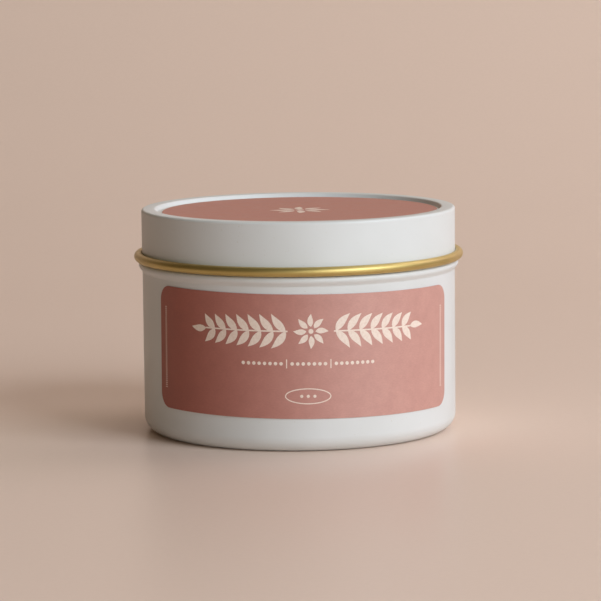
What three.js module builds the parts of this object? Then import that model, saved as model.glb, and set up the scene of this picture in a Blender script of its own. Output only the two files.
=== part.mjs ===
// A poured candle in a two-piece drawn tin with a slip lid: 68 mm across the lid's curl, 46 mm tall.
// Millimetres, +Z up. The origin is in the middle of the base, on the surface that the tin stands on.
// The side label faces -Y.
import * as THREE from "three";

// Tinplate, coatings included.
const GAUGE = 0.3;
const HALF_GAUGE = GAUGE / 2;

// Flats in one turn. Round pieces that lie in each other share them, so that their flats line up.
const TURN_FLATS = 60;
// Most that a chord in a profile may stand off its arc.
const ARC_TOLERANCE = 0.035;
// Space between pieces that rest on each other or are stuck together.
const TOUCH_GAP = 0.05;

// Tin body, outside sizes.
const BODY_RADIUS = 32.45;
const CORNER_RADIUS = 3.2;
const BASE_RECESS = 0.6;
const BASE_PANEL_RADIUS = 26.9;
const BASE_RING_INNER_RADIUS = 27.8;
const BEAD_RADIUS = 0.8;
const BEAD_REACH = 33.15;
const BEAD_TOP = 35.38;
const BEAD_START = 33.2;
const NECK_RADIUS = 31.1;
const NECK_FILLET = 0.65;
const RIM_ROLL_RADIUS = 0.62;
const RIM_TOP = 45.3;

// Lid, outside sizes.
const LID_RADIUS = 32.5;
const LID_TOP = 46.2;
const LID_EDGE_RADIUS = 0.55;
const LID_PANEL_TOP = 45.35;
const LID_PANEL_RADIUS = 29.35;
const LID_RIM_INNER_RADIUS = 29.8;
const CURL_RADIUS = 0.97;
const CURL_MIDDLE = 36.4;

// Candle.
const WAX_LEVEL = 34.4;
const WICK_RADIUS = 0.85;
const WICK_TIP = 41.8;
const STICKER_RADIUS = 9;
const STICKER_THICKNESS = 0.5;
const SUSTAINER_RADIUS = 7.5;
const SUSTAINER_THICKNESS = 0.25;
const COLLAR_RADIUS = 1.3;
const COLLAR_HEIGHT = 6;
const WICK_CLEARANCE = 0.1;

// Labels. They are stuck on by hand, so the side label is a little askew and both are off centre.
const LABEL_THICKNESS = 0.12;
const SIDE_LABEL_WIDTH = 70.5;
const SIDE_LABEL_HEIGHT = 24.9;
const SIDE_LABEL_CORNER = 3;
const SIDE_LABEL_MIDDLE = 19.4;
const SIDE_LABEL_OFF_CENTRE = THREE.MathUtils.degToRad(2.85);
const SIDE_LABEL_TILT = THREE.MathUtils.degToRad(0.64);
const LID_LABEL_RADIUS = 28.5;
const LID_LABEL_OFF_CENTRE = { x: 0.35, y: -0.6 };

// Finishes.
const WHITE_ENAMEL = { color: 0xe4e3dd, roughness: 0.42, metalness: 0 };
const ROSE_PAPER = { color: 0xb67e72, roughness: 0.6, metalness: 0 };
const SOY_WAX = { color: 0xf1e8d4, roughness: 0.55, metalness: 0 };
const COTTON = { color: 0xf2eee4, roughness: 0.9, metalness: 0 };
const PLATED_STEEL = { color: 0xb9bcc0, roughness: 0.35, metalness: 1 };
const STICKY_FOAM = { color: 0xf4f4f2, roughness: 0.85, metalness: 0 };

const levelOfBase = BASE_RECESS + GAUGE + TOUCH_GAP;
const levelOfSustainer = levelOfBase + STICKER_THICKNESS + TOUCH_GAP;

// Points of a profile are (distance from the axis, height).
const point = (radius, height) => new THREE.Vector2(radius, height);

// Arc about a middle, from one angle to another in degrees, where 0 points away from the axis and 90 up.
function arc(middle, radius, from, to) {
  const chordAngle = 2 * Math.acos(1 - ARC_TOLERANCE / radius);
  const steps = Math.ceil(THREE.MathUtils.degToRad(Math.abs(to - from)) / chordAngle);
  return Array.from({ length: steps + 1 }, (_, i) => {
    const angle = THREE.MathUtils.degToRad(THREE.MathUtils.lerp(from, to, i / steps));
    return point(middle.x + radius * Math.cos(angle), middle.y + radius * Math.sin(angle));
  });
}

// The line at a distance to the left of a line of points, or to its right where the distance is negative.
function offsetLine(line, distance) {
  return line.map((here, i) => {
    const before = line[Math.max(i - 1, 0)];
    const after = line[Math.min(i + 1, line.length - 1)];
    const arriving = here.clone().sub(before).normalize();
    const leaving = after.clone().sub(here).normalize();
    const along = arriving.clone().add(leaving).normalize();
    const straight = i === 0 ? leaving : arriving;
    const reach = distance / along.dot(straight);
    return point(here.x - along.y * reach, here.y + along.x * reach);
  });
}

// Closed section of a sheet whose middle surface follows a line.
function sheetSection(line) {
  return [...offsetLine(line, -HALF_GAUGE), ...offsetLine(line, HALF_GAUGE).reverse()];
}

// Solid of revolution about Z. The section runs anticlockwise, and it starts and ends on the axis or closes.
function turned(section, flats = TURN_FLATS) {
  return new THREE.LatheGeometry(section, flats).rotateX(Math.PI / 2);
}

function disc(radius, bottom, thickness, flats = TURN_FLATS) {
  const top = bottom + thickness;
  return turned([point(0, bottom), point(radius, bottom), point(radius, top), point(0, top)], flats);
}

// Middle surface of the body's sheet, from the middle of the base to the end of the rolled rim.
function bodyLine() {
  const wall = BODY_RADIUS - HALF_GAUGE;
  const cornerRadius = CORNER_RADIUS - HALF_GAUGE;
  const beadRadius = BEAD_RADIUS - HALF_GAUGE;
  const beadMiddle = point(BEAD_REACH - BEAD_RADIUS, BEAD_TOP - BEAD_RADIUS);
  const neck = NECK_RADIUS - HALF_GAUGE;
  const neckFoot = BEAD_TOP - HALF_GAUGE + NECK_FILLET;
  const rollMiddle = point(NECK_RADIUS - GAUGE + RIM_ROLL_RADIUS, RIM_TOP - RIM_ROLL_RADIUS);
  const flare = new THREE.CubicBezierCurve(
    point(wall, BEAD_START),
    point(wall, THREE.MathUtils.lerp(BEAD_START, beadMiddle.y, 0.5)),
    point(beadMiddle.x + beadRadius, THREE.MathUtils.lerp(BEAD_START, beadMiddle.y, 0.5)),
    point(beadMiddle.x + beadRadius, beadMiddle.y),
  );
  return [
    point(0, BASE_RECESS + HALF_GAUGE),
    point(BASE_PANEL_RADIUS, BASE_RECESS + HALF_GAUGE),
    point(BASE_RING_INNER_RADIUS, HALF_GAUGE),
    ...arc(point(wall - cornerRadius, CORNER_RADIUS), cornerRadius, -90, 0),
    ...flare.getPoints(4),
    ...arc(beadMiddle, beadRadius, 0, 90).slice(1),
    ...arc(point(neck + NECK_FILLET, neckFoot), NECK_FILLET, -90, -180),
    ...arc(rollMiddle, RIM_ROLL_RADIUS - HALF_GAUGE, 180, -105),
  ];
}

// Middle surface of the lid's sheet, from the middle of the top to the end of the outward curl.
function lidLine() {
  const wall = LID_RADIUS - HALF_GAUGE;
  const edgeRadius = LID_EDGE_RADIUS - HALF_GAUGE;
  const curlMiddle = point(LID_RADIUS - GAUGE + CURL_RADIUS, CURL_MIDDLE);
  return [
    point(0, LID_PANEL_TOP - HALF_GAUGE),
    point(LID_PANEL_RADIUS, LID_PANEL_TOP - HALF_GAUGE),
    point(LID_RIM_INNER_RADIUS, LID_TOP - HALF_GAUGE),
    ...arc(point(wall - edgeRadius, LID_TOP - LID_EDGE_RADIUS), edgeRadius, 90, 0),
    ...arc(curlMiddle, CURL_RADIUS - HALF_GAUGE, -180, 125),
  ];
}

// Upper outline of the wick sustainer, from the edge of its plate to the top of its neck.
function sustainerOutline() {
  const plateTop = levelOfSustainer + SUSTAINER_THICKNESS;
  return [
    point(SUSTAINER_RADIUS, plateTop),
    ...arc(point(2 * COLLAR_RADIUS, plateTop + COLLAR_RADIUS), COLLAR_RADIUS, -90, -180),
    point(COLLAR_RADIUS, levelOfSustainer + COLLAR_HEIGHT),
  ];
}

// Stamped plate with a neck that is crimped on the wick.
function sustainerSection() {
  const boreRadius = WICK_RADIUS + WICK_CLEARANCE;
  return [
    point(boreRadius, levelOfSustainer),
    point(SUSTAINER_RADIUS, levelOfSustainer),
    ...sustainerOutline(),
    point(boreRadius, levelOfSustainer + COLLAR_HEIGHT),
    point(boreRadius, levelOfSustainer),
  ];
}

// Wax as it sets in the tin: it follows the inside of the sheet and leaves room for what is cast into it.
function waxSection() {
  const boreRadius = WICK_RADIUS + WICK_CLEARANCE;
  const stickerHole = STICKER_RADIUS + WICK_CLEARANCE;
  const overSustainer = offsetLine(sustainerOutline(), -WICK_CLEARANCE).reverse();
  const insideTin = offsetLine(bodyLine(), HALF_GAUGE + TOUCH_GAP);
  const againstWall = insideTin.slice(1, insideTin.findIndex((p) => p.y > WAX_LEVEL));
  return [
    point(stickerHole, levelOfBase),
    ...againstWall,
    point(againstWall.at(-1).x, WAX_LEVEL),
    point(boreRadius, WAX_LEVEL),
    point(boreRadius, overSustainer[0].y + WICK_CLEARANCE),
    point(overSustainer[0].x, overSustainer[0].y + WICK_CLEARANCE),
    ...overSustainer,
    point(stickerHole, overSustainer.at(-1).y),
    point(stickerHole, levelOfBase),
  ];
}

// Distances along a label from its middle: a close step round the corners, and the tin's own between them.
function labelStations() {
  const half = SIDE_LABEL_WIDTH / 2;
  const cornerSteps = 6;
  const corner = Array.from({ length: cornerSteps }, (_, i) => {
    const turn = (i / cornerSteps) * (Math.PI / 2);
    return half - SIDE_LABEL_CORNER * (1 - Math.cos(turn));
  });
  const straight = half - SIDE_LABEL_CORNER;
  const flats = Math.ceil((2 * straight) / (BODY_RADIUS * (2 * Math.PI / TURN_FLATS)));
  const between = Array.from({ length: flats + 1 }, (_, i) => straight * ((2 * i) / flats - 1));
  return [...corner.map((s) => -s), ...between, ...corner.reverse()];
}

// Place on a face of the side label, along and up from its middle before it is stuck on askew.
function onWall(along, up, radius) {
  const turn = along * Math.cos(SIDE_LABEL_TILT) + up * Math.sin(SIDE_LABEL_TILT);
  const rise = up * Math.cos(SIDE_LABEL_TILT) - along * Math.sin(SIDE_LABEL_TILT);
  const angle = SIDE_LABEL_OFF_CENTRE + turn / BODY_RADIUS;
  return [radius * Math.sin(angle), -radius * Math.cos(angle), SIDE_LABEL_MIDDLE + rise];
}

// Paper with round corners wrapped on the wall. Each station has four corners, two on each face.
function wrappedLabel() {
  const inner = BODY_RADIUS + TOUCH_GAP;
  const outer = inner + LABEL_THICKNESS;
  const straight = SIDE_LABEL_WIDTH / 2 - SIDE_LABEL_CORNER;
  const stations = labelStations();
  const corners = stations.flatMap((along) => {
    const pastStraight = Math.max(Math.abs(along) - straight, 0);
    const round = Math.sqrt(Math.max(SIDE_LABEL_CORNER ** 2 - pastStraight ** 2, 0));
    const top = SIDE_LABEL_HEIGHT / 2 - SIDE_LABEL_CORNER + round;
    return [
      ...onWall(along, -top, inner),
      ...onWall(along, -top, outer),
      ...onWall(along, top, outer),
      ...onWall(along, top, inner),
    ];
  });
  const faces = [];
  for (let i = 0; i < stations.length - 1; i++) {
    for (let side = 0; side < 4; side++) {
      const a = 4 * i + side;
      const b = 4 * i + ((side + 1) % 4);
      faces.push(a, a + 4, b + 4, a, b + 4, b);
    }
  }
  const last = 4 * (stations.length - 1);
  faces.push(0, 1, 2, 0, 2, 3, last, last + 2, last + 1, last, last + 3, last + 2);
  const geometry = new THREE.BufferGeometry();
  geometry.setAttribute("position", new THREE.Float32BufferAttribute(corners, 3));
  geometry.setIndex(faces);
  geometry.computeVertexNormals();
  return geometry;
}

function piece(name, geometry, finish) {
  const mesh = new THREE.Mesh(geometry, new THREE.MeshStandardMaterial(finish));
  mesh.name = name;
  return mesh;
}

function filledTin() {
  const wickFoot = levelOfSustainer + TOUCH_GAP;
  const group = new THREE.Group();
  group.add(
    piece("tin_body", turned(sheetSection(bodyLine())), WHITE_ENAMEL),
    piece("wax_fill", turned(waxSection()), SOY_WAX),
    piece("wick", disc(WICK_RADIUS, wickFoot, WICK_TIP - wickFoot, 16), COTTON),
    piece("wick_sustainer", turned(sustainerSection(), 32), PLATED_STEEL),
    piece("wick_sticker", disc(STICKER_RADIUS, levelOfBase, STICKER_THICKNESS), STICKY_FOAM),
    piece("side_label", wrappedLabel(), ROSE_PAPER),
  );
  return group;
}

function labelledLid() {
  const label = piece("lid_label", disc(LID_LABEL_RADIUS, 0, LABEL_THICKNESS), ROSE_PAPER);
  label.position.set(LID_LABEL_OFF_CENTRE.x, LID_LABEL_OFF_CENTRE.y, LID_PANEL_TOP + TOUCH_GAP);
  const group = new THREE.Group();
  group.add(piece("tin_lid", turned(sheetSection(lidLine())), WHITE_ENAMEL), label);
  return group;
}

const candleTin = new THREE.Group();
candleTin.add(filledTin(), labelledLid());

export default candleTin;
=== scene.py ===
# The looks of the candle tin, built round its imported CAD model: enamelled and gold-lacquered tinplate,
# rose paper labels with cream ornaments, poured wax and a braided wick. Sizes are in metres.
import math

import bpy
from mathutils import Matrix, Vector, noise


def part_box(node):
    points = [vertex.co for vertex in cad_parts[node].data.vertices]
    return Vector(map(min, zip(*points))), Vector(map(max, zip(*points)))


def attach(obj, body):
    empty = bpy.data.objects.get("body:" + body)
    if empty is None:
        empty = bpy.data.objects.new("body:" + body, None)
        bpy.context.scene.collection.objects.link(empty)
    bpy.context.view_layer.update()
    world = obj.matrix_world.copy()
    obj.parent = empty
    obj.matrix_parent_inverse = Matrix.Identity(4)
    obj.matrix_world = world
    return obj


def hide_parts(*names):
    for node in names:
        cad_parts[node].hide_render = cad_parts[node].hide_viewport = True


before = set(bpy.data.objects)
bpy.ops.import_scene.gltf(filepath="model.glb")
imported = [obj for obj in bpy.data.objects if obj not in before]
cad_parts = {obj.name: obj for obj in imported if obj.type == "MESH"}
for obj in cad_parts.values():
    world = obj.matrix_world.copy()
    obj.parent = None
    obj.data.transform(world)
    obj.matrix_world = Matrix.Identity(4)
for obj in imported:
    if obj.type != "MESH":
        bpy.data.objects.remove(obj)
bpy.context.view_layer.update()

MM = 0.001

# The sheet of both metal parts, and how much of its thickness the enamel takes.
GAUGE = 0.3 * MM
HALF_GAUGE = GAUGE / 2
ENAMEL = 0.09 * MM

# Body, outside sizes. Heights that the CAD boxes give are read from them below.
BODY_RADIUS = 32.45 * MM
CORNER_RADIUS = 3.2 * MM
BASE_RECESS = 0.6 * MM
BASE_PANEL_RADIUS = 26.9 * MM
BASE_RING_INNER_RADIUS = 27.8 * MM
BASE_STEP_FILLET = 0.35 * MM
BEAD_RADIUS = 0.8 * MM
BEAD_TOP = 35.38 * MM
BEAD_START = 33.2 * MM
NECK_RADIUS = 31.1 * MM
NECK_FILLET = 0.65 * MM
RIM_ROLL_RADIUS = 0.62 * MM

# Lid, outside sizes.
LID_RADIUS = 32.5 * MM
LID_EDGE_RADIUS = 0.55 * MM
LID_PANEL_DEPTH = 0.85 * MM
LID_PANEL_RADIUS = 29.35 * MM
LID_RIM_INNER_RADIUS = 29.8 * MM
LID_STEP_FILLET = 0.3 * MM
CURL_RADIUS = 0.97 * MM

# Side label: its size, where its middle is, and how far askew it is stuck.
LABEL_WIDTH = 70.5 * MM
LABEL_HEIGHT = 24.9 * MM
LABEL_THICKNESS = 0.12 * MM
LABEL_CORNER = 3 * MM
LABEL_FACE = BODY_RADIUS + 0.05 * MM + LABEL_THICKNESS
LABEL_MIDDLE = 19.4 * MM
LABEL_OFF_CENTRE = math.radians(2.85)
LABEL_TILT = math.radians(0.64)
LABEL_STEP = 1.0 * MM

# Ink stands this far proud of the paper it is printed on.
INK = 0.015 * MM

# Where the painted sheen of a paper, paler towards the window, starts and ends along X.
SHEEN_PAINT_START = -24 * MM
SHEEN_PAINT_END = 14 * MM

# Points round one turn of the metal, and the most degrees that one step of an arc turns.
TURN_STEPS = 160
ARC_STEP = 9

tin_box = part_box("tin_body")
lid_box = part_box("tin_lid")
wax_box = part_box("wax_fill")
wick_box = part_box("wick")
lid_label_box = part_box("lid_label")


# ---------------------------------------------------------------- flat outlines

def arc(middle, radius, start, end):
    """Points of an arc about a middle, from one angle to another in degrees."""
    steps = max(1, math.ceil(abs(end - start) / ARC_STEP))
    angles = [math.radians(start + (end - start) * i / steps) for i in range(steps + 1)]
    return [Vector((middle[0] + radius * math.cos(a), middle[1] + radius * math.sin(a))) for a in angles]


def rounded(corners):
    """A line through corners given as (x, y, radius), with an arc of that radius in place of each corner."""
    line = []
    for i, (x, y, radius) in enumerate(corners):
        here = Vector((x, y))
        if radius == 0 or i in (0, len(corners) - 1):
            line.append(here)
            continue
        back = (Vector(corners[i - 1][:2]) - here).normalized()
        on = (Vector(corners[i + 1][:2]) - here).normalized()
        half = back.angle(on) / 2
        middle = here + (back + on).normalized() * radius / math.sin(half)
        first = here + back * radius / math.tan(half) - middle
        last = here + on * radius / math.tan(half) - middle
        start = math.degrees(math.atan2(first.y, first.x))
        turn = math.degrees(math.atan2(first.cross(last), first.dot(last)))
        line += arc(middle, radius, start, start + turn)
    return line


def s_curve(start, end, steps):
    """Points from start to end on a curve that leaves and arrives along the second axis."""
    points = []
    for i in range(steps + 1):
        t = i / steps
        ease = t * t * (3 - 2 * t)
        points.append(Vector((start[0] + (end[0] - start[0]) * ease, start[1] + (end[1] - start[1]) * t)))
    return points


def offset_line(line, distance):
    """The line at a distance to the left of a line, or to its right where the distance is negative."""
    moved = []
    for i, here in enumerate(line):
        arriving = (here - line[i - 1]).normalized() if i else None
        leaving = (line[i + 1] - here).normalized() if i < len(line) - 1 else None
        arriving = arriving or leaving
        leaving = leaving or arriving
        along = (arriving + leaving).normalized()
        reach = distance / along.dot(arriving)
        moved.append(Vector((here.x - along.y * reach, here.y + along.x * reach)))
    return moved


def without_repeats(line):
    """The line without the points that repeat the one before them."""
    return [p for i, p in enumerate(line) if i == 0 or (p - line[i - 1]).length > 1e-7]


def layer(line, right, left):
    """Closed section of a layer of a sheet, between two distances to the left of the sheet's middle line."""
    return offset_line(line, right) + offset_line(line, left)[::-1]


# ---------------------------------------------------------------- solids

def turned(section, steps=TURN_STEPS, middle=(0.0, 0.0)):
    """A section of (radius, height) turned about Z. It starts and ends on the axis, or else closes."""
    vertices = []
    rings = []
    for radius, height in section:
        if radius < 1e-7:
            rings.append([len(vertices)] * steps)
            vertices.append((middle[0], middle[1], height))
            continue
        rings.append(list(range(len(vertices), len(vertices) + steps)))
        for i in range(steps):
            angle = 2 * math.pi * i / steps
            x = middle[0] + radius * math.sin(angle)
            y = middle[1] - radius * math.cos(angle)
            vertices.append((x, y, height))
    if section[0][0] > 1e-7:
        rings.append(rings[0])
    faces = []
    for low, high in zip(rings, rings[1:]):
        for i in range(steps):
            j = (i + 1) % steps
            face = list(dict.fromkeys((low[i], low[j], high[j], high[i])))
            if len(face) > 2:
                faces.append(face)
    return vertices, faces


def strip(stations, closes=False):
    """A thin closed solid through stations, each of four corners in the same order round the strip."""
    vertices = [corner for station in stations for corner in station]
    count = len(stations)
    faces = []
    for i in range(count if closes else count - 1):
        here = 4 * i
        there = 4 * ((i + 1) % count)
        for side in range(4):
            after = (side + 1) % 4
            faces.append((here + side, there + side, there + after, here + after))
    if not closes:
        last = 4 * (count - 1)
        faces.append((0, 1, 2, 3))
        faces.append((last + 3, last + 2, last + 1, last))
    return vertices, faces


def joined(solids):
    """Several solids as one list of vertices and one of faces."""
    vertices = []
    faces = []
    for more_vertices, more_faces in solids:
        start = len(vertices)
        vertices += more_vertices
        faces += [tuple(start + corner for corner in face) for face in more_faces]
    return vertices, faces


def add_piece(name, solid, material, body, replaced=(), crease=32):
    """Makes a piece from a solid: it rides on a body, takes a material and may stand for CAD nodes."""
    mesh = bpy.data.meshes.new(name)
    mesh.from_pydata(solid[0], [], solid[1])
    mesh.materials.append(material)
    mesh.set_sharp_from_angle(angle=math.radians(crease))
    for polygon in mesh.polygons:
        polygon.use_smooth = True
    piece = bpy.data.objects.new(name, mesh)
    bpy.context.scene.collection.objects.link(piece)
    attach(piece, body)
    if replaced:
        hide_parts(*replaced)
    return piece


# ---------------------------------------------------------------- materials

def node(tree, kind, inputs=None, **settings):
    """Adds a node. Each input is a value, or the output of another node to link."""
    made = tree.nodes.new(kind)
    for name, value in settings.items():
        setattr(made, name, value)
    for name, value in (inputs or {}).items():
        if isinstance(value, bpy.types.NodeSocket):
            tree.links.new(value, made.inputs[name])
        else:
            made.inputs[name].default_value = value
    return made


def srgb(red, green, blue):
    """A linear colour from sRGB values of 0 to 255."""
    def linear(value):
        value /= 255
        return value / 12.92 if value <= 0.04045 else ((value + 0.055) / 1.055) ** 2.4
    return (linear(red), linear(green), linear(blue), 1.0)


def new_material(name):
    """An empty node material: its tree, its shader and the object's own coordinates."""
    material = bpy.data.materials.new(name)
    material.use_nodes = True
    tree = material.node_tree
    shader = next(n for n in tree.nodes if n.type == "BSDF_PRINCIPLED")
    place = node(tree, "ShaderNodeTexCoord").outputs["Object"]
    return material, tree, shader, place


def grain(tree, place, scale, detail=3.0, stretch=(1.0, 1.0, 1.0)):
    """Noise whose features are about 1 / scale metres across, stretched along the axes."""
    stretched = node(tree, "ShaderNodeMapping", {"Vector": place, "Scale": stretch}).outputs["Vector"]
    inputs = {"Vector": stretched, "Scale": scale, "Detail": detail}
    return node(tree, "ShaderNodeTexNoise", inputs).outputs["Fac"]


def ramp(tree, value, stops):
    """Colour along a value: stops are (place, colour)."""
    made = node(tree, "ShaderNodeValToRGB", {"Fac": value})
    elements = made.color_ramp.elements
    for element, (at, colour) in zip(elements, (stops[0], stops[-1])):
        element.position = at
        element.color = colour
    for at, colour in stops[1:-1]:
        elements.new(at).color = colour
    return made.outputs["Color"]


def spread(tree, value, low, high):
    """A value of 0.3 to 0.7, where noise mostly lies, mapped to a range."""
    inputs = {"Value": value, "From Min": 0.3, "From Max": 0.7, "To Min": low, "To Max": high}
    return node(tree, "ShaderNodeMapRange", inputs).outputs["Result"]


def bump(tree, height, distance, under=None):
    """A bumped normal, whose full height stands for a distance. It can lie on top of another bump."""
    inputs = {"Height": height, "Distance": distance}
    if under is not None:
        inputs["Normal"] = under
    return node(tree, "ShaderNodeBump", inputs).outputs["Normal"]


def round_tin(tree, place):
    """Coordinates that run round the tin: distance along the turn, distance from the axis, and height."""
    parts = node(tree, "ShaderNodeSeparateXYZ", {"Vector": place}).outputs
    angle = node(tree, "ShaderNodeMath", {0: parts["Y"], 1: parts["X"]}, operation="ARCTAN2").outputs[0]
    turn = node(tree, "ShaderNodeMath", {0: angle, 1: BODY_RADIUS}, operation="MULTIPLY").outputs[0]
    flat = node(tree, "ShaderNodeCombineXYZ", {"X": parts["X"], "Y": parts["Y"]}).outputs["Vector"]
    out = node(tree, "ShaderNodeVectorMath", {0: flat}, operation="LENGTH").outputs["Value"]
    return node(tree, "ShaderNodeCombineXYZ", {"X": turn, "Y": out, "Z": parts["Z"]}).outputs["Vector"]


def enamel_material():
    """Satin white stoving enamel: a faint orange peel, a slightly uneven gloss and a few specks."""
    material, tree, shader, place = new_material("white_enamel")
    cloud = grain(tree, place, 60)
    tint = ramp(tree, cloud, [(0.3, srgb(217, 219, 217)), (0.7, srgb(223, 225, 224))])
    inputs = {"Value": grain(tree, place, 2600, detail=1), "From Min": 0.76, "From Max": 0.8}
    specks = node(tree, "ShaderNodeMapRange", inputs).outputs["Result"]
    inputs = {"Fac": specks, "Color1": tint, "Color2": srgb(206, 202, 192)}
    shader.inputs["Base Color"].default_value = srgb(220, 222, 220)
    tree.links.new(node(tree, "ShaderNodeMixRGB", inputs).outputs["Color"], shader.inputs["Base Color"])
    tree.links.new(spread(tree, grain(tree, place, 180), 0.4, 0.47), shader.inputs["Roughness"])
    peel = bump(tree, grain(tree, place, 900, detail=2), 0.004 * MM)
    tree.links.new(peel, shader.inputs["Normal"])
    return material


def lacquer_material():
    """Gold lacquer on rolled tinplate: a metal with fine marks along the turn and an uneven tone."""
    material, tree, shader, place = new_material("gold_lacquer")
    turn = round_tin(tree, place)
    lines = grain(tree, turn, 1500, detail=4, stretch=(0.04, 1.0, 1.0))
    cloud = grain(tree, place, 140)
    tone = ramp(tree, cloud, [(0.3, srgb(198, 175, 106)), (0.7, srgb(209, 186, 118))])
    tree.links.new(tone, shader.inputs["Base Color"])
    tree.links.new(spread(tree, lines, 0.44, 0.54), shader.inputs["Roughness"])
    tree.links.new(bump(tree, lines, 0.0015 * MM), shader.inputs["Normal"])
    shader.inputs["Metallic"].default_value = 1.0
    shader.inputs["Coat Weight"].default_value = 0.4
    shader.inputs["Coat Roughness"].default_value = 0.3
    return material


def paper_material(name, left, right):
    """Label paper with a satin face: mottled ink, paper grain and short fibres.

    Its tone runs from the left one to the right one across the front of the tin: where they differ, the
    paler one is a painted sheen.
    """
    material, tree, shader, place = new_material(name)
    across = node(tree, "ShaderNodeSeparateXYZ", {"Vector": place}).outputs["X"]
    # A painted sheen: the paper's tone grows paler from left to right along X.
    inputs = {"Value": across, "From Min": SHEEN_PAINT_START, "From Max": SHEEN_PAINT_END}
    painted_sheen_fac = node(tree, "ShaderNodeMapRange", inputs).outputs["Result"]
    tone = ramp(tree, painted_sheen_fac, [(0.0, left), (1.0, right)])
    mottle = grain(tree, place, 420, detail=4)
    mottle_tone = ramp(tree, mottle, [(0.3, (0.92, 0.9, 0.9, 1.0)), (0.7, (1.0, 1.0, 1.0, 1.0))])
    fibres = grain(tree, place, 5200, detail=2, stretch=(0.35, 0.35, 1.0))
    fibre_tone = ramp(tree, fibres, [(0.35, (0.94, 0.94, 0.94, 1.0)), (0.65, (1.0, 1.0, 1.0, 1.0))])
    for shade in (mottle_tone, fibre_tone):
        inputs = {"Fac": 1.0, "Color1": tone, "Color2": shade}
        tone = node(tree, "ShaderNodeMixRGB", inputs, blend_type="MULTIPLY").outputs["Color"]
    tree.links.new(tone, shader.inputs["Base Color"])
    tree.links.new(spread(tree, mottle, 0.46, 0.54), shader.inputs["Roughness"])
    tree.links.new(bump(tree, fibres, 0.006 * MM), shader.inputs["Normal"])
    shader.inputs["IOR"].default_value = 1.6
    return material


def ink_material():
    """Cream ink, thin enough for the paper's grain to show."""
    material, tree, shader, place = new_material("cream_ink")
    cover = grain(tree, place, 2400, detail=3)
    tone = ramp(tree, cover, [(0.3, srgb(236, 214, 198)), (0.6, srgb(244, 226, 212))])
    tree.links.new(tone, shader.inputs["Base Color"])
    tree.links.new(spread(tree, cover, 0.45, 0.6), shader.inputs["Roughness"])
    tree.links.new(bump(tree, cover, 0.003 * MM), shader.inputs["Normal"])
    return material


def wax_material():
    """Soy wax: creamy and slightly see-through, with frosted patches and fine pits."""
    material, tree, shader, place = new_material("soy_wax")
    frost = grain(tree, place, 150, detail=6)
    tone = ramp(tree, frost, [(0.35, srgb(243, 234, 213)), (0.65, srgb(248, 241, 226))])
    pits = grain(tree, place, 1400, detail=3)
    tree.links.new(tone, shader.inputs["Base Color"])
    tree.links.new(spread(tree, frost, 0.38, 0.62), shader.inputs["Roughness"])
    tree.links.new(bump(tree, pits, 0.02 * MM, under=bump(tree, frost, 0.15 * MM)), shader.inputs["Normal"])
    shader.inputs["Subsurface Weight"].default_value = 0.6
    shader.inputs["Subsurface Radius"].default_value = (1.0, 0.7, 0.45)
    shader.inputs["Subsurface Scale"].default_value = 2.5 * MM
    return material


def cotton_material():
    """Waxed cotton yarn: fine fibres along the strands."""
    material, tree, shader, place = new_material("wick_cotton")
    fibres = grain(tree, place, 6000, detail=3, stretch=(1.0, 1.0, 0.25))
    tone = ramp(tree, fibres, [(0.3, srgb(214, 204, 184)), (0.6, srgb(245, 240, 228))])
    tree.links.new(tone, shader.inputs["Base Color"])
    tree.links.new(spread(tree, fibres, 0.6, 0.85), shader.inputs["Roughness"])
    tree.links.new(bump(tree, fibres, 0.03 * MM), shader.inputs["Normal"])
    return material


def plate_material():
    """Tin-plated steel of the wick sustainer: a dull metal with fine rolling marks."""
    material, tree, shader, place = new_material("plated_steel")
    marks = grain(tree, place, 2200, detail=3, stretch=(0.1, 1.0, 1.0))
    tone = ramp(tree, marks, [(0.3, srgb(184, 187, 191)), (0.7, srgb(206, 208, 210))])
    tree.links.new(tone, shader.inputs["Base Color"])
    tree.links.new(spread(tree, marks, 0.28, 0.42), shader.inputs["Roughness"])
    tree.links.new(bump(tree, marks, 0.003 * MM), shader.inputs["Normal"])
    shader.inputs["Metallic"].default_value = 1.0
    return material


def foam_material():
    """White closed-cell foam of the sticker."""
    material, tree, shader, place = new_material("sticky_foam")
    cells = node(tree, "ShaderNodeTexVoronoi", {"Vector": place, "Scale": 3500}).outputs["Distance"]
    tone = ramp(tree, cells, [(0.0, srgb(248, 248, 246)), (0.8, srgb(226, 226, 222))])
    tree.links.new(tone, shader.inputs["Base Color"])
    tree.links.new(bump(tree, cells, 0.05 * MM), shader.inputs["Normal"])
    shader.inputs["Roughness"].default_value = 0.85
    return material


# ---------------------------------------------------------------- metal parts

def body_line():
    """Middle line of the body's sheet, from the middle of the base to the end of the rolled rim."""
    wall = BODY_RADIUS - HALF_GAUGE
    bead_reach = tin_box[1].x - HALF_GAUGE
    bead_middle = (tin_box[1].x - BEAD_RADIUS, BEAD_TOP - BEAD_RADIUS)
    neck = NECK_RADIUS - HALF_GAUGE
    neck_foot = BEAD_TOP - HALF_GAUGE + NECK_FILLET
    roll_middle = (NECK_RADIUS - GAUGE + RIM_ROLL_RADIUS, tin_box[1].z - RIM_ROLL_RADIUS)
    base = rounded([
        (0, BASE_RECESS + HALF_GAUGE, 0),
        (BASE_PANEL_RADIUS, BASE_RECESS + HALF_GAUGE, BASE_STEP_FILLET),
        (BASE_RING_INNER_RADIUS, HALF_GAUGE, BASE_STEP_FILLET),
        (wall, HALF_GAUGE, CORNER_RADIUS - HALF_GAUGE),
        (wall, BEAD_START, 0),
    ])
    line = base + s_curve((wall, BEAD_START), (bead_reach, bead_middle[1]), 12)
    line += arc(bead_middle, BEAD_RADIUS - HALF_GAUGE, 0, 90)
    line += arc((neck + NECK_FILLET, neck_foot), NECK_FILLET, -90, -180)
    line += arc(roll_middle, RIM_ROLL_RADIUS - HALF_GAUGE, 180, -105)
    return without_repeats(line)


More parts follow.
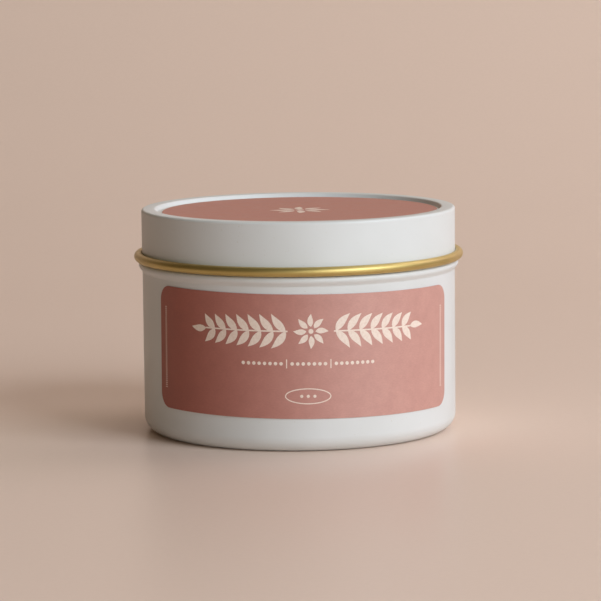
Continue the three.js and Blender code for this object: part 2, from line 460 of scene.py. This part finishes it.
def lid_line():
    """Middle line of the lid's sheet, from the middle of the top to the end of the outward curl."""
    top = lid_box[1].z - HALF_GAUGE
    wall = LID_RADIUS - HALF_GAUGE
    curl_middle = (LID_RADIUS - GAUGE + CURL_RADIUS, lid_box[0].z + CURL_RADIUS)
    line = rounded([
        (0, top - LID_PANEL_DEPTH, 0),
        (LID_PANEL_RADIUS, top - LID_PANEL_DEPTH, LID_STEP_FILLET),
        (LID_RIM_INNER_RADIUS, top, LID_STEP_FILLET),
        (wall, top, LID_EDGE_RADIUS - HALF_GAUGE),
        (wall, curl_middle[1], 0),
    ])
    return without_repeats(line + arc(curl_middle, CURL_RADIUS - HALF_GAUGE, -180, 125))


def add_metal(enamel, lacquer):
    """Both metal parts, each as an enamel layer and a lacquered layer of one sheet.

    The outside of the body is to the right of its line, and the outside of the lid is to the left.
    """
    body = body_line()
    lid = lid_line()
    outside = turned(layer(body, -HALF_GAUGE, ENAMEL - HALF_GAUGE))
    inside = turned(layer(body, ENAMEL - HALF_GAUGE, HALF_GAUGE))
    add_piece("tin_body_enamel", outside, enamel, "tin", ["tin_body"])
    add_piece("tin_body_lacquer", inside, lacquer, "tin", ["tin_body"])
    outside = turned(layer(lid, HALF_GAUGE - ENAMEL, HALF_GAUGE))
    inside = turned(layer(lid, -HALF_GAUGE, HALF_GAUGE - ENAMEL))
    add_piece("tin_lid_enamel", outside, enamel, "lid", ["tin_lid"])
    add_piece("tin_lid_lacquer", inside, lacquer, "lid", ["tin_lid"])


# ---------------------------------------------------------------- labels

def add_labels():
    """Both labels. The side label's paler right end is a painted sheen of its paper towards the window."""
    rose = srgb(195, 127, 112)
    # The side label's tones: its paper on the shaded left, and the same paper with a painted sheen on the
    # right.
    unsheened_rose = srgb(174, 100, 86)
    painted_sheen_rose = srgb(207, 155, 143)
    lid_paper = paper_material("lid_label_paper", rose, rose)
    side_paper = paper_material("side_label_paper", unsheened_rose, painted_sheen_rose)
    add_piece("lid_label_paper", lid_label_solid(), lid_paper, "lid", ["lid_label"])
    add_piece("side_label_paper", side_label_solid(), side_paper, "tin", ["side_label"])


def lid_label_solid():
    """The round label, with its top edge eased by a small bevel."""
    low, high = lid_label_box
    radius = (high.x - low.x) / 2
    bevel = 0.02 * MM
    section = [(0, low.z), (radius, low.z), (radius, high.z - bevel), (radius - bevel, high.z), (0, high.z)]
    return turned(section, 192, ((low.x + high.x) / 2, (low.y + high.y) / 2))


def on_wall(along, up, lift):
    """A place on the side label, lifted off its face.

    It is given along and up from the label's middle, before the label is stuck on askew.
    """
    turn = along * math.cos(LABEL_TILT) + up * math.sin(LABEL_TILT)
    rise = up * math.cos(LABEL_TILT) - along * math.sin(LABEL_TILT)
    angle = LABEL_OFF_CENTRE + turn / BODY_RADIUS
    radius = LABEL_FACE + lift
    return (radius * math.sin(angle), -radius * math.cos(angle), LABEL_MIDDLE + rise)


def side_label_solid():
    """The wrapped label, as stations from one end to the other that shorten at its round corners."""
    half = LABEL_WIDTH / 2
    straight = half - LABEL_CORNER
    corner = [half - LABEL_CORNER * (1 - math.cos(math.radians(a))) for a in range(0, 90, 9)]
    count = math.ceil(2 * straight / LABEL_STEP)
    between = [straight * (2 * i / count - 1) for i in range(count + 1)]
    stations = []
    for along in [-s for s in corner] + between + corner[::-1]:
        past = max(abs(along) - straight, 0)
        top = LABEL_HEIGHT / 2 - LABEL_CORNER + math.sqrt(max(LABEL_CORNER ** 2 - past ** 2, 0))
        stations.append((
            on_wall(along, -top, 0),
            on_wall(along, top, 0),
            on_wall(along, top, -LABEL_THICKNESS),
            on_wall(along, -top, -LABEL_THICKNESS),
        ))
    return strip(stations)


# ---------------------------------------------------------------- printed ornaments

# Ornaments of the side label, placed from the label's middle.
GARLAND_MIDDLE = Vector((0.6, 5.1)) * MM
GARLAND_HALF_LENGTH = 25.0 * MM
DOT_ROW_MIDDLE = Vector((0.2, -1.4)) * MM
DOT_ROW_HALF_LENGTH = 13.2 * MM
OVAL_MIDDLE = Vector((0.1, -7.9)) * MM
OVAL_HALF_WIDTH = 4.5 * MM
OVAL_HALF_HEIGHT = 1.5 * MM
OVAL_LINE = 0.2 * MM
OVAL_DOT_RADIUS = 0.32 * MM
OVAL_DOT_PITCH = 1.3 * MM
TICKS_FROM_MIDDLE = 33.2 * MM
TICKS_LOW = -8.2 * MM
TICKS_HIGH = 9.0 * MM

def on_lid(x, y, lift):
    """A place on the lid label, from its middle, with a lift off its face."""
    low, high = lid_label_box
    return ((low.x + high.x) / 2 + x, (low.y + high.y) / 2 + y, high.z + lift)


def brush(line, widths, place, closes=False):
    """A printed stroke: a flat line and its width at each point, on the surface that place maps to."""
    count = len(line)
    stations = []
    for i, here in enumerate(line):
        before = line[i - 1] if i or closes else here
        after = line[(i + 1) % count] if i < count - 1 or closes else here
        along = (after - before).normalized()
        across = Vector((-along.y, along.x)) * widths[i] / 2
        left, right = here + across, here - across
        stations.append((
            place(left.x, left.y, 0),
            place(right.x, right.y, 0),
            place(right.x, right.y, INK),
            place(left.x, left.y, INK),
        ))
    return strip(stations, closes)


def leaf(foot, angle, length, width, place):
    """A pointed leaf from its foot, at an angle in degrees from the first axis."""
    along = Vector((math.cos(math.radians(angle)), math.sin(math.radians(angle))))
    across = Vector((-along.y, along.x))
    steps = 8
    line = []
    widths = []
    for i in range(steps + 1):
        t = i / steps
        line.append(foot + along * length * t + across * 0.06 * length * math.sin(math.pi * t))
        widths.append(max(width * math.sin(math.pi * t ** 0.8), 0.03 * MM))
    return brush(line, widths, place)


def dot(middle, radius, place):
    """A round dot."""
    steps = 8
    angles = [math.pi * i / steps for i in range(steps + 1)]
    line = [middle + Vector((-radius * math.cos(a), 0)) for a in angles]
    widths = [max(2 * radius * math.sin(a), 0.01 * MM) for a in angles]
    return brush(line, widths, place)


def stroke(start, end, width, place):
    """A straight line of one width."""
    steps = max(1, math.ceil((end - start).length / LABEL_STEP))
    line = [start.lerp(end, i / steps) for i in range(steps + 1)]
    return brush(line, [width] * len(line), place)


def ring(middle, half_width, half_height, width, place):
    """A closed oval line."""
    steps = 64
    angles = [2 * math.pi * i / steps for i in range(steps)]
    line = [middle + Vector((half_width * math.cos(a), half_height * math.sin(a))) for a in angles]
    return brush(line, [width] * steps, place, closes=True)


def flower(middle, petals, inner, outer, width, place):
    """Petals round a dot."""
    solids = [dot(middle, inner * 0.55, place)]
    for i in range(petals):
        angle = 360 * i / petals + 90
        reach = Vector((math.cos(math.radians(angle)), math.sin(math.radians(angle))))
        solids.append(leaf(middle + reach * inner, angle, outer - inner, width, place))
    return solids


def garland(middle, half_length, place):
    """A flower with a leafy sprig on each side."""
    pairs = 7
    stem_foot = 4.6 * MM
    stem_tip = half_length - 3.0 * MM
    solids = flower(middle, 8, 0.9 * MM, 3.5 * MM, 1.15 * MM, place)
    for side in (-1, 1):
        stem_start = middle + Vector((side * stem_foot, 0))
        stem_end = middle + Vector((side * stem_tip, 0))
        solids.append(stroke(stem_start, stem_end, 0.3 * MM, place))
        for i in range(pairs):
            foot = stem_start.lerp(stem_end, (i + 0.15) / pairs)
            length = (4.5 - 0.14 * i) * MM
            for lean in (-1, 1):
                angle = 50 * lean if side > 0 else 180 - 50 * lean
                solids.append(leaf(foot, angle, length, 1.55 * MM, place))
        solids.append(leaf(stem_end, 0 if side > 0 else 180, 3.6 * MM, 1.4 * MM, place))
    return solids


def dotted_row(middle, half_length, place):
    """Three groups of small dots with an upright stroke between the groups."""
    solids = []
    count = 25
    bars = (8, 16)
    for i in range(count):
        at = middle + Vector((half_length * (2 * i / (count - 1) - 1), 0))
        if i in bars:
            solids.append(stroke(at - Vector((0, 0.9 * MM)), at + Vector((0, 0.9 * MM)), 0.2 * MM, place))
        else:
            solids.append(dot(at, 0.36 * MM, place))
    return solids


def ticked_column(along, low, high, place):
    """Short level ticks one above another, like the edge of a ruler."""
    pitch = 0.42 * MM
    half_length = Vector((0.3 * MM, 0))
    solids = []
    for i in range(math.floor((high - low) / pitch)):
        middle = Vector((along, low + i * pitch))
        solids.append(stroke(middle - half_length, middle + half_length, 0.16 * MM, place))
    return solids


def add_ornaments(ink):
    """The print of each label as one piece: what is on the side label, and the flower on the lid label."""
    side = garland(GARLAND_MIDDLE, GARLAND_HALF_LENGTH, on_wall)
    side += dotted_row(DOT_ROW_MIDDLE, DOT_ROW_HALF_LENGTH, on_wall)
    side.append(ring(OVAL_MIDDLE, OVAL_HALF_WIDTH, OVAL_HALF_HEIGHT, OVAL_LINE, on_wall))
    for i in (-1, 0, 1):
        side.append(dot(OVAL_MIDDLE + Vector((i * OVAL_DOT_PITCH, 0)), OVAL_DOT_RADIUS, on_wall))
    for along in (-TICKS_FROM_MIDDLE, TICKS_FROM_MIDDLE):
        side += ticked_column(along, TICKS_LOW, TICKS_HIGH, on_wall)
    add_piece("side_label_print", joined(side), ink, "tin")
    top = flower(Vector((0, 0)), 8, 1.6 * MM, 6.2 * MM, 1.7 * MM, on_lid)
    add_piece("lid_label_print", joined(top), ink, "lid")


# ---------------------------------------------------------------- candle

# How high the wax climbs at the tin's wall and at the wick, and how fast that dies away from each.
WALL_CLIMB = 0.35 * MM
WALL_CLIMB_REACH = 0.7 * MM
WICK_CLIMB = 0.45 * MM
WICK_CLIMB_REACH = 0.6 * MM

def wax_solid():
    """Wax from the tin's inside to its top, which climbs a little at the wall and at the wick."""
    inside = offset_line(body_line(), HALF_GAUGE + 0.02 * MM)
    level = wax_box[1].z
    wall = [p for p in inside if BASE_RECESS + GAUGE < p.y < level]
    wall_radius = wall[-1].x
    wick_radius = (wick_box[1].x - wick_box[0].x) / 2
    bore = wick_radius * 0.9
    rings = 44
    top = []
    for i in range(rings + 1):
        radius = bore + (wall_radius - bore) * (1 - i / rings)
        at_wall = WALL_CLIMB * math.exp(-(wall_radius - radius) / WALL_CLIMB_REACH)
        at_wick = WICK_CLIMB * math.exp(-(radius - bore) / WICK_CLIMB_REACH)
        top.append((radius, level + at_wall + at_wick))
    foot = wax_box[0].z
    section = [(bore, foot)] + [(p.x, p.y) for p in wall] + top
    vertices, faces = turned(section, 144)
    rippled = []
    for x, y, z in vertices:
        if z > level - 0.01 * MM:
            z += 0.05 * MM * noise.noise(Vector((x, y, 0)) * 160)
            z += 0.02 * MM * noise.noise(Vector((x, y, 5)) * 700)
        rippled.append((x, y, z))
    return rippled, faces


def wick_solid():
    """Three strands in a flat braid."""
    low, high = wick_box
    height = high.z - low.z
    strand_radius = 0.37 * MM
    swing = (high.x - low.x) / 2 - strand_radius
    turn_height = 3.2 * MM
    steps = math.ceil(height / turn_height * 20)
    sides = 10
    solids = []
    for strand in range(3):
        phase = 2 * math.pi * strand / 3
        path = []
        for i in range(steps + 1):
            z = low.z + height * i / steps
            turn = 2 * math.pi * (z - low.z) / turn_height + phase
            path.append(Vector((swing * math.sin(turn), 0.6 * swing * math.sin(2 * turn), z)))
        solids.append(tube(path, strand_radius, sides))
    return joined(solids)


def tube(path, radius, sides):
    """A round bar along a path that runs mostly upwards, with flat ends."""
    vertices = []
    for i, here in enumerate(path):
        along = (path[min(i + 1, len(path) - 1)] - path[max(i - 1, 0)]).normalized()
        right = along.cross(Vector((0, 1, 0))).normalized()
        front = along.cross(right)
        for side in range(sides):
            angle = 2 * math.pi * side / sides
            vertices.append(here + radius * (math.cos(angle) * right + math.sin(angle) * front))
    faces = []
    for i in range(len(path) - 1):
        for side in range(sides):
            after = (side + 1) % sides
            low, high = sides * i, sides * (i + 1)
            faces.append((low + side, low + after, high + after, high + side))
    last = sides * (len(path) - 1)
    faces.append(tuple(reversed(range(sides))))
    faces.append(tuple(range(last, last + sides)))
    return [tuple(v) for v in vertices], faces


def add_candle():
    """The wax and the wick as pieces. The wick's plate and sticker are the CAD's own, with a material."""
    add_piece("wax", wax_solid(), wax_material(), "tin", ["wax_fill"])
    add_piece("braided_wick", wick_solid(), cotton_material(), "tin", ["wick"], crease=50)
    for name, material in (("wick_sustainer", plate_material()), ("wick_sticker", foam_material())):
        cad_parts[name].material_slots[0].material = material


# ---------------------------------------------------------------- stage, light and camera

# Camera: where it stands, which way it points in degrees, and its lens in millimetres.
CAMERA_DISTANCE = 640 * MM
CAMERA_HEIGHT = 108.6 * MM
CAMERA_PITCH = -7.309
CAMERA_YAW = 0.027
CAMERA_ROLL = -0.625
CAMERA_LENS = 185.55

# Backdrop: a wide paper sweep that lies flat under the tin and curves up behind it.
SWEEP_FRONT = -4.0
SWEEP_FLAT_TO = 0.2
SWEEP_BEND = 0.8
SWEEP_TOP = 1.6
SWEEP_HALF_WIDTH = 4.0

# How far the lights that face the tin stand from it.
LIGHT_DISTANCE = 1.4

# Lights that face the tin: name, azimuth, elevation, side in metres, and watts of red, green and blue.
WINDOWS = (
    ("window", 50, 30, 0.8, (11.8, 13.0, 14.1)),
    ("reflector", 22, 11, 0.8, (4.4, 4.5, 4.6)),
    ("side", 110, 35, 0.8, (2.8, 2.5, 3.0)),
    ("ceiling", 120, 60, 0.9, (3.1, 2.9, 2.3)),
)

# A light for the sweep. It hangs over it, turned so far away that hardly any of its light reaches the tin.
SWEEP_LIGHT_PLACE = Vector((0, 0.3, 1.1))
SWEEP_LIGHT_AIM = Vector((0, 1, -0.27))
SWEEP_LIGHT_WIDTH = 0.9
SWEEP_LIGHT_HEIGHT = 0.5
SWEEP_LIGHT_WATTS = (1.9, 1.9, 1.9)

# The dim warm light from all round.
WORLD_STRENGTH = 0.075


def add_backdrop():
    """A sweep of plain pale paper with a faint sheen, which mirrors the tin softly at a low angle."""
    material, tree, shader, place = new_material("backdrop_paper")
    fine = grain(tree, place, 900, detail=4)
    tone = ramp(tree, fine, [(0.3, srgb(233, 210, 195)), (0.7, srgb(235, 212, 197))])
    tree.links.new(tone, shader.inputs["Base Color"])
    tree.links.new(bump(tree, fine, 0.01 * MM), shader.inputs["Normal"])
    shader.inputs["Roughness"].default_value = 0.34
    bend = arc((SWEEP_FLAT_TO, SWEEP_BEND), SWEEP_BEND, -90, 0)
    line = [Vector((SWEEP_FRONT, 0))] + bend + [Vector((SWEEP_FLAT_TO + SWEEP_BEND, SWEEP_TOP))]
    vertices = [(side * SWEEP_HALF_WIDTH, p.x, p.y) for p in line for side in (-1, 1)]
    faces = [(2 * i, 2 * i + 1, 2 * i + 3, 2 * i + 2) for i in range(len(line) - 1)]
    mesh = bpy.data.meshes.new("backdrop")
    mesh.from_pydata(vertices, [], faces)
    mesh.materials.append(material)
    for polygon in mesh.polygons:
        polygon.use_smooth = True
    backdrop = bpy.data.objects.new("backdrop", mesh)
    bpy.context.scene.collection.objects.link(backdrop)


def add_lamp(name, place, aim, width, height, watts):
    """A large soft light that shines from a place along an aim, with its watts for red, green and blue."""
    light = bpy.data.lights.new(name, "AREA")
    light.shape = "RECTANGLE"
    light.size = width
    light.size_y = height
    light.energy = max(watts)
    light.color = [channel / max(watts) for channel in watts]
    lamp = bpy.data.objects.new(name, light)
    lamp.location = place
    lamp.rotation_euler = aim.to_track_quat("-Z", "Y").to_euler()
    bpy.context.scene.collection.objects.link(lamp)


def add_window(name, azimuth, elevation, side, watts):
    """A square light that faces the tin. Azimuth 0 is the camera's side and 90 is +X."""
    a, e = math.radians(azimuth), math.radians(elevation)
    towards = Vector((math.sin(a) * math.cos(e), -math.cos(a) * math.cos(e), math.sin(e)))
    add_lamp(name, towards * LIGHT_DISTANCE, -towards, side, side, watts)


def add_light():
    """A dim warm world, the lights that face the tin and the one that lights the sweep."""
    world = bpy.data.worlds.new("studio")
    world.use_nodes = True
    background = world.node_tree.nodes["Background"]
    background.inputs["Color"].default_value = srgb(255, 222, 165)
    background.inputs["Strength"].default_value = WORLD_STRENGTH
    bpy.context.scene.world = world
    for window in WINDOWS:
        add_window(*window)
    size = (SWEEP_LIGHT_WIDTH, SWEEP_LIGHT_HEIGHT)
    add_lamp("sweep_light", SWEEP_LIGHT_PLACE, SWEEP_LIGHT_AIM, *size, SWEEP_LIGHT_WATTS)
    bpy.context.scene.view_settings.view_transform = "Standard"


def add_camera():
    """The camera in front of the tin, turned by its yaw, its pitch and its roll."""
    data = bpy.data.cameras.new("camera")
    data.sensor_width = 36
    data.lens = CAMERA_LENS
    data.clip_start = 0.05
    data.clip_end = 40
    camera = bpy.data.objects.new("camera", data)
    turn = Matrix.Rotation(math.radians(-CAMERA_YAW), 4, "Z")
    turn @= Matrix.Rotation(math.radians(90 + CAMERA_PITCH), 4, "X")
    turn @= Matrix.Rotation(math.radians(CAMERA_ROLL), 4, "Z")
    camera.matrix_world = Matrix.Translation((0, -CAMERA_DISTANCE, CAMERA_HEIGHT)) @ turn
    bpy.context.scene.collection.objects.link(camera)
    bpy.context.scene.camera = camera


add_camera()
add_light()
add_backdrop()
add_metal(enamel_material(), lacquer_material())
add_labels()
add_ornaments(ink_material())
add_candle()
